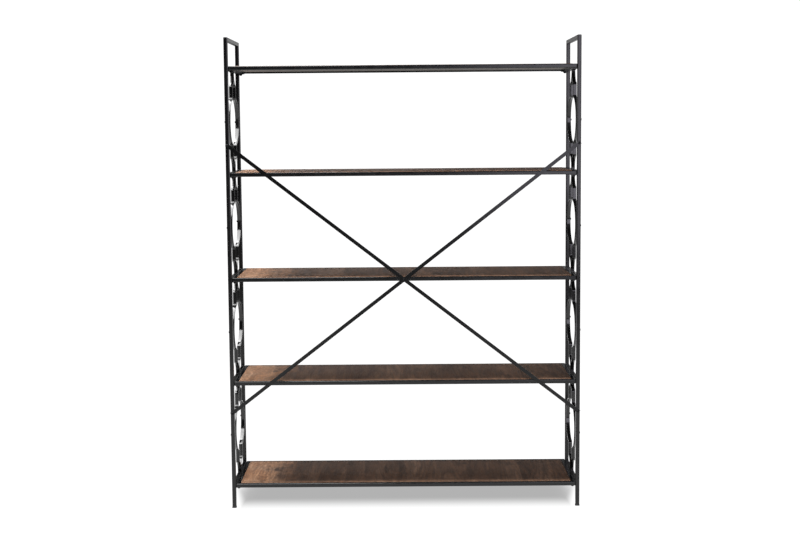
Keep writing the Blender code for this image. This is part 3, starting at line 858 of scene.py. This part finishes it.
def sweep_strip(working, path, middle, end, width):
    """Sweep the flat bar's section along a path of one side frame, mitred at the bends."""
    section = strip_section(width, STRIP_THICKNESS)
    rings = []
    for index, point in enumerate(path):
        before = (path[index] - path[index - 1]) if index else (path[1] - path[0])
        after = (path[index + 1] - path[index]) if index + 1 < len(path) else before
        before = Vector((-before.y, before.x)).normalized()
        after = Vector((-after.y, after.x)).normalized()
        normal = (before + after).normalized()
        reach = 1.0 / normal.dot(before)
        rings.append([(middle.x + v, middle.y + end * (point.x + normal.x * u * reach),
                       middle.z + point.y + normal.y * u * reach) for u, v in section])
    loft(working, rings)


def build_ornaments():
    """Stand a finer bent bar in for each CAD ornament."""
    for _, side_name in SIDES:
        for end, end_name in ENDS:
            for bay in BAYS:
                node = f"{side_name}_ornament_bay_{bay}_{end_name}"
                low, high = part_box(node)
                middle = (low + high) / 2
                middle.y = centre("top_shelf_frame").y
                path = ornament_path((high.z - low.z) / 2)
                working = bmesh.new()
                sweep_strip(working, path, middle, end, high.x - low.x)
                piece = new_piece(f"{node}_bar", working, LOOKS["ornament"], "frame")
                even_normals(piece)
                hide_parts(node)


# ---------------------------------------------------------------- screws, bolts and welds

def build_brace_bolts():
    """Stand finer socket bolts in for the brace's bolts and its rivet."""
    names = [node for node in NODES if node.startswith("brace_bolt_")] + ["brace_centre_rivet"]
    for node in sorted(names):
        low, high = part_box(node)
        middle = (low + high) / 2
        front = low.y + BOLT_HEAD_HEIGHT
        working = bmesh.new()
        matrix = pointing((middle.x, front, middle.z), (0.0, -1.0, 0.0))
        socket_head(working, matrix, BOLT_HEAD_RADIUS, BOLT_HEAD_HEIGHT, high.y - front)
        piece = new_piece(f"{node}_detailed", working, LOOKS["bolt"], "frame")
        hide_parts(node)


def build_post_screws():
    """Add a domed screw on the outer face of each post at the middle of each bay."""
    for side, side_name in SIDES:
        for end_name in SCREW_HEAD_HEIGHTS:
            low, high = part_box(f"{side_name}_{end_name}_post")
            outer = high.x if side > 0 else low.x
            for bay in BAYS:
                height = centre(f"{side_name}_ornament_bay_{bay}_{end_name}").z
                matrix = pointing((outer, (low.y + high.y) / 2, height), (side, 0.0, 0.0))
                working = bmesh.new()
                socket_head(working, matrix, SCREW_HEAD_RADIUS, SCREW_HEAD_HEIGHTS[end_name],
                            TUBE_WALL)
                new_piece(f"{side_name}_{end_name}_post_screw_{bay}", working, LOOKS["bolt"],
                          "frame")


def build_shelf_bolts():
    """Add the bolt that comes up through each plate into a shelf frame's corner."""
    for shelf in SHELF_NAMES:
        frame_low, frame_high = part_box(f"{shelf}_shelf_frame")
        half_tube = (frame_high.z - frame_low.z) / 2
        stud = WASHER_THICKNESS + TAB_THICKNESS + half_tube * STUD_REACH
        for side, side_name in SIDES:
            rail_low, rail_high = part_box(f"{side_name}_{shelf}_cross_rail")
            plate_bottom = rail_low.z
            x = (frame_high.x - half_tube) if side > 0 else (frame_low.x + half_tube)
            for end, end_name in ENDS:
                y = rail_high.y - TAB_HALF_LENGTH if end > 0 else rail_low.y + TAB_HALF_LENGTH
                working = bmesh.new()
                washer = pointing((x, y, plate_bottom), (0.0, 0.0, -1.0))
                add_washer(working, washer, STUD_RADIUS, WASHER_RADIUS, WASHER_THICKNESS)
                head = pointing((x, y, plate_bottom - WASHER_THICKNESS), (0.0, 0.0, -1.0))
                socket_head(working, head, SHELF_BOLT_RADIUS, SHELF_BOLT_HEIGHT, stud)
                new_piece(f"{shelf}_shelf_bolt_{side_name}_{end_name}", working, LOOKS["bolt"],
                          "frame")


def build_welds():
    """Add weld beads where the rails meet the posts and where the bent bars meet the rails."""
    mid_depth = centre("top_shelf_frame").y
    for side, side_name in SIDES:
        post_low, post_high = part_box(f"{side_name}_front_post")
        left, right = post_low.x + WELD_INSET, post_high.x - WELD_INSET
        outer = post_high.x if side > 0 else post_low.x
        for index, shelf in enumerate(SHELF_NAMES):
            low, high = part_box(f"{side_name}_{shelf}_cross_rail")
            top, bottom = high.z, high.z - (post_high.x - post_low.x)
            working = bmesh.new()
            for y in (low.y, high.y):
                weld_bead(working, (left, y, top), (right, y, top), WELD_RADIUS)
                weld_bead(working, (outer, y, bottom + WELD_INSET), (outer, y, top - WELD_INSET),
                          WELD_RADIUS * OUTER_WELD)
            # No bars stand on the top rail, and none hang from the bottom one.
            for z, used in ((top, index > 0), (bottom, index < len(SHELF_NAMES) - 1)):
                if used:
                    for y in (mid_depth - BAR_PAIR_REACH, mid_depth + BAR_PAIR_REACH):
                        weld_bead(working, (left, y, z), (right, y, z), WELD_RADIUS * BAR_WELD)
            new_piece(f"{side_name}_{shelf}_rail_welds", working, LOOKS["weld"], "frame")


# ---------------------------------------------------------------- CAD nodes

def smooth_by_angle_group():
    """Return a geometry node group that shades smooth except at sharp edges."""
    group = bpy.data.node_groups.new("smooth_by_angle", "GeometryNodeTree")
    group.interface.new_socket("Geometry", in_out="INPUT", socket_type="NodeSocketGeometry")
    group.interface.new_socket("Geometry", in_out="OUTPUT", socket_type="NodeSocketGeometry")
    start = add_node(group, "NodeGroupInput")
    faces = add_node(group, "GeometryNodeSetShadeSmooth",
                     {"Geometry": start.outputs[0], "Shade Smooth": True}, domain="FACE")
    angle = add_node(group, "GeometryNodeInputMeshEdgeAngle").outputs["Unsigned Angle"]
    sharp = add_node(group, "FunctionNodeCompare", {0: angle, 1: math.radians(SHARP_ANGLE)},
                     operation="GREATER_THAN")
    edges = add_node(group, "GeometryNodeSetShadeSmooth",
                     {"Geometry": faces.outputs[0], "Selection": sharp.outputs[0],
                      "Shade Smooth": False}, domain="EDGE")
    finish = add_node(group, "NodeGroupOutput")
    group.links.new(edges.outputs[0], finish.inputs[0])
    return group


def dress(node, look, bevel_width, smooth_group):
    """Give a CAD node its material, softened edges and smooth shading."""
    for slot in node.material_slots:
        slot.material = LOOKS[look]
    if bevel_width > 0.0:
        bevel = node.modifiers.new("soft_edges", "BEVEL")
        bevel.width = bevel_width
        bevel.segments = BEVEL_SEGMENTS
        bevel.limit_method = "ANGLE"
        bevel.angle_limit = math.radians(BEVEL_ANGLE)
    node.modifiers.new("smooth_shading", "NODES").node_group = smooth_group
    even_normals(node)


def dress_cad_nodes():
    """Dress the CAD nodes that stay in sight."""
    smooth_group = smooth_by_angle_group()
    for name, node in NODES.items():
        for ending, look, bevel_width in NODE_LOOKS:
            if name.endswith(ending):
                dress(node, look, bevel_width, smooth_group)


bpy.context.scene.view_settings.view_transform = "Standard"
add_camera()
add_world()
add_floor()
for softbox in SOFTBOXES:
    add_softbox(*softbox)
LOOKS = make_materials()
dress_cad_nodes()
build_ornaments()
build_brace_bolts()
build_post_screws()
build_shelf_bolts()
build_welds()
